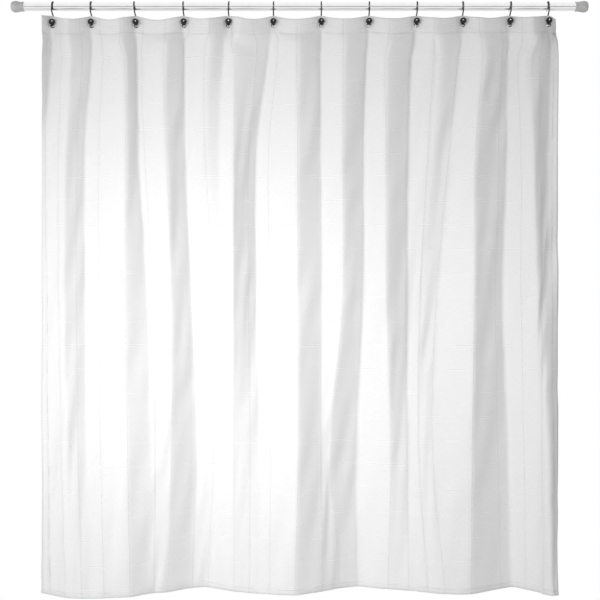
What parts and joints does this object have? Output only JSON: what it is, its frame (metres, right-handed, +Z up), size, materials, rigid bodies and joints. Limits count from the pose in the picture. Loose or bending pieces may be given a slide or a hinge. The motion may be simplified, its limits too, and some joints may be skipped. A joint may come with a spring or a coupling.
{
  "type": "shower curtain",
  "caption": "Gathered white cloth panel on ball-ended S-hooks, hung from a spring-loaded rod with rubber feet. The hooks draw along the rod and the panel swings under it.",
  "frame": {"origin": "on the rod's axis, in the plane of the left foot's wall face", "axes": "+X along the rod to the right foot, +Z up, -Y the side that faces the room and +Y the bath side"},
  "size_m": [1.829, 0.1448, 1.8743],
  "materials": {
    "polished_steel": "polished",
    "spring_steel": "drawn wire, oiled",
    "grey_rubber": "smooth, slightly glossy",
    "white_nylon": "moulded, matt",
    "black_nickel": "polished, dark plated",
    "eyelet_nickel": "pressed and plated",
    "white_cotton": "plain weave with a windowpane check of raised cords"
  },
  "bodies": {
    "rod": {"outer_tube": "polished_steel", "wall_foot_left": "grey_rubber", "end_plug_left": "white_nylon", "guide_bush": "white_nylon", "spring_stop": "white_nylon", "tension_spring": "spring_steel"},
    "rod_end": {"inner_tube": "polished_steel", "wall_foot_right": "grey_rubber", "spring_follower": "white_nylon"},
    "hook_01": {"hook_wire_01": "black_nickel", "hook_ball_01": "black_nickel", "eyelet_01": "eyelet_nickel", "cloth_01": "white_cotton"},
    "hook_02": {"hook_wire_02": "black_nickel", "hook_ball_02": "black_nickel", "eyelet_02": "eyelet_nickel", "cloth_02": "white_cotton"},
    "hook_03": {"hook_wire_03": "black_nickel", "hook_ball_03": "black_nickel", "eyelet_03": "eyelet_nickel", "cloth_03": "white_cotton"},
    "hook_04": {"hook_wire_04": "black_nickel", "hook_ball_04": "black_nickel", "eyelet_04": "eyelet_nickel", "cloth_04": "white_cotton"},
    "hook_05": {"hook_wire_05": "black_nickel", "hook_ball_05": "black_nickel", "eyelet_05": "eyelet_nickel", "cloth_05": "white_cotton"},
    "hook_06": {"hook_wire_06": "black_nickel", "hook_ball_06": "black_nickel", "eyelet_06": "eyelet_nickel", "cloth_06": "white_cotton"},
    "hook_07": {"hook_wire_07": "black_nickel", "hook_ball_07": "black_nickel", "eyelet_07": "eyelet_nickel", "cloth_07": "white_cotton"},
    "hook_08": {"hook_wire_08": "black_nickel", "hook_ball_08": "black_nickel", "eyelet_08": "eyelet_nickel", "cloth_08": "white_cotton"},
    "hook_09": {"hook_wire_09": "black_nickel", "hook_ball_09": "black_nickel", "eyelet_09": "eyelet_nickel", "cloth_09": "white_cotton"},
    "hook_10": {"hook_wire_10": "black_nickel", "hook_ball_10": "black_nickel", "eyelet_10": "eyelet_nickel", "cloth_10": "white_cotton"},
    "hook_11": {"hook_wire_11": "black_nickel", "hook_ball_11": "black_nickel", "eyelet_11": "eyelet_nickel", "cloth_11": "white_cotton"},
    "hook_12": {"hook_wire_12": "black_nickel", "hook_ball_12": "black_nickel", "eyelet_12": "eyelet_nickel", "cloth_12": "white_cotton"}
  },
  "joints": [
    {"name": "rod_spring", "type": "slide", "parent": "rod", "child": "rod_end", "axis": [1, 0, 0], "range_m": [-0.015, 0], "stiffness_N_per_m": 2500, "springref_m": 0.004, "deforming": ["tension_spring"]},
    {"name": "curtain_swing", "type": "hinge", "parent": "rod", "child": "hook_01", "pos_m": [0.1295, 0, 0], "axis": [1, 0, 0], "range_deg": [-15, 15]},
    {"name": "hook_02_slide", "type": "slide", "parent": "hook_01", "child": "hook_02", "axis": [-1, 0, 0], "range_m": [0, 0.093], "deforming": ["cloth_01", "cloth_02"]},
    {"name": "hook_03_slide", "type": "slide", "parent": "hook_01", "child": "hook_03", "axis": [-1, 0, 0], "range_m": [0, 0.1996], "deforming": ["cloth_03"]},
    {"name": "hook_04_slide", "type": "slide", "parent": "hook_01", "child": "hook_04", "axis": [-1, 0, 0], "range_m": [0, 0.3137], "deforming": ["cloth_04"]},
    {"name": "hook_05_slide", "type": "slide", "parent": "hook_01", "child": "hook_05", "axis": [-1, 0, 0], "range_m": [0, 0.4194], "deforming": ["cloth_05"]},
    {"name": "hook_06_slide", "type": "slide", "parent": "hook_01", "child": "hook_06", "axis": [-1, 0, 0], "range_m": [0, 0.5263], "deforming": ["cloth_06"]},
    {"name": "hook_07_slide", "type": "slide", "parent": "hook_01", "child": "hook_07", "axis": [-1, 0, 0], "range_m": [0, 0.6404], "deforming": ["cloth_07"]},
    {"name": "hook_08_slide", "type": "slide", "parent": "hook_01", "child": "hook_08", "axis": [-1, 0, 0], "range_m": [0, 0.7535], "deforming": ["cloth_08"]},
    {"name": "hook_09_slide", "type": "slide", "parent": "hook_01", "child": "hook_09", "axis": [-1, 0, 0], "range_m": [0, 0.8663], "deforming": ["cloth_09"]},
    {"name": "hook_10_slide", "type": "slide", "parent": "hook_01", "child": "hook_10", "axis": [-1, 0, 0], "range_m": [0, 0.9766], "deforming": ["cloth_10"]},
    {"name": "hook_11_slide", "type": "slide", "parent": "hook_01", "child": "hook_11", "axis": [-1, 0, 0], "range_m": [0, 1.0878], "deforming": ["cloth_11"]},
    {"name": "curtain_draw", "type": "slide", "parent": "hook_01", "child": "hook_12", "axis": [-1, 0, 0], "range_m": [0, 1.1806], "deforming": ["cloth_12"]}
  ],
  "couplings": [
    {"joint": "hook_02_slide", "follows": "curtain_draw", "ratio": 0.078707},
    {"joint": "hook_03_slide", "follows": "curtain_draw", "ratio": 0.16904},
    {"joint": "hook_04_slide", "follows": "curtain_draw", "ratio": 0.26566},
    {"joint": "hook_05_slide", "follows": "curtain_draw", "ratio": 0.35523},
    {"joint": "hook_06_slide", "follows": "curtain_draw", "ratio": 0.44575},
    {"joint": "hook_07_slide", "follows": "curtain_draw", "ratio": 0.54237},
    {"joint": "hook_08_slide", "follows": "curtain_draw", "ratio": 0.63816},
    {"joint": "hook_09_slide", "follows": "curtain_draw", "ratio": 0.73377},
    {"joint": "hook_10_slide", "follows": "curtain_draw", "ratio": 0.82715},
    {"joint": "hook_11_slide", "follows": "curtain_draw", "ratio": 0.92136}
  ]
}
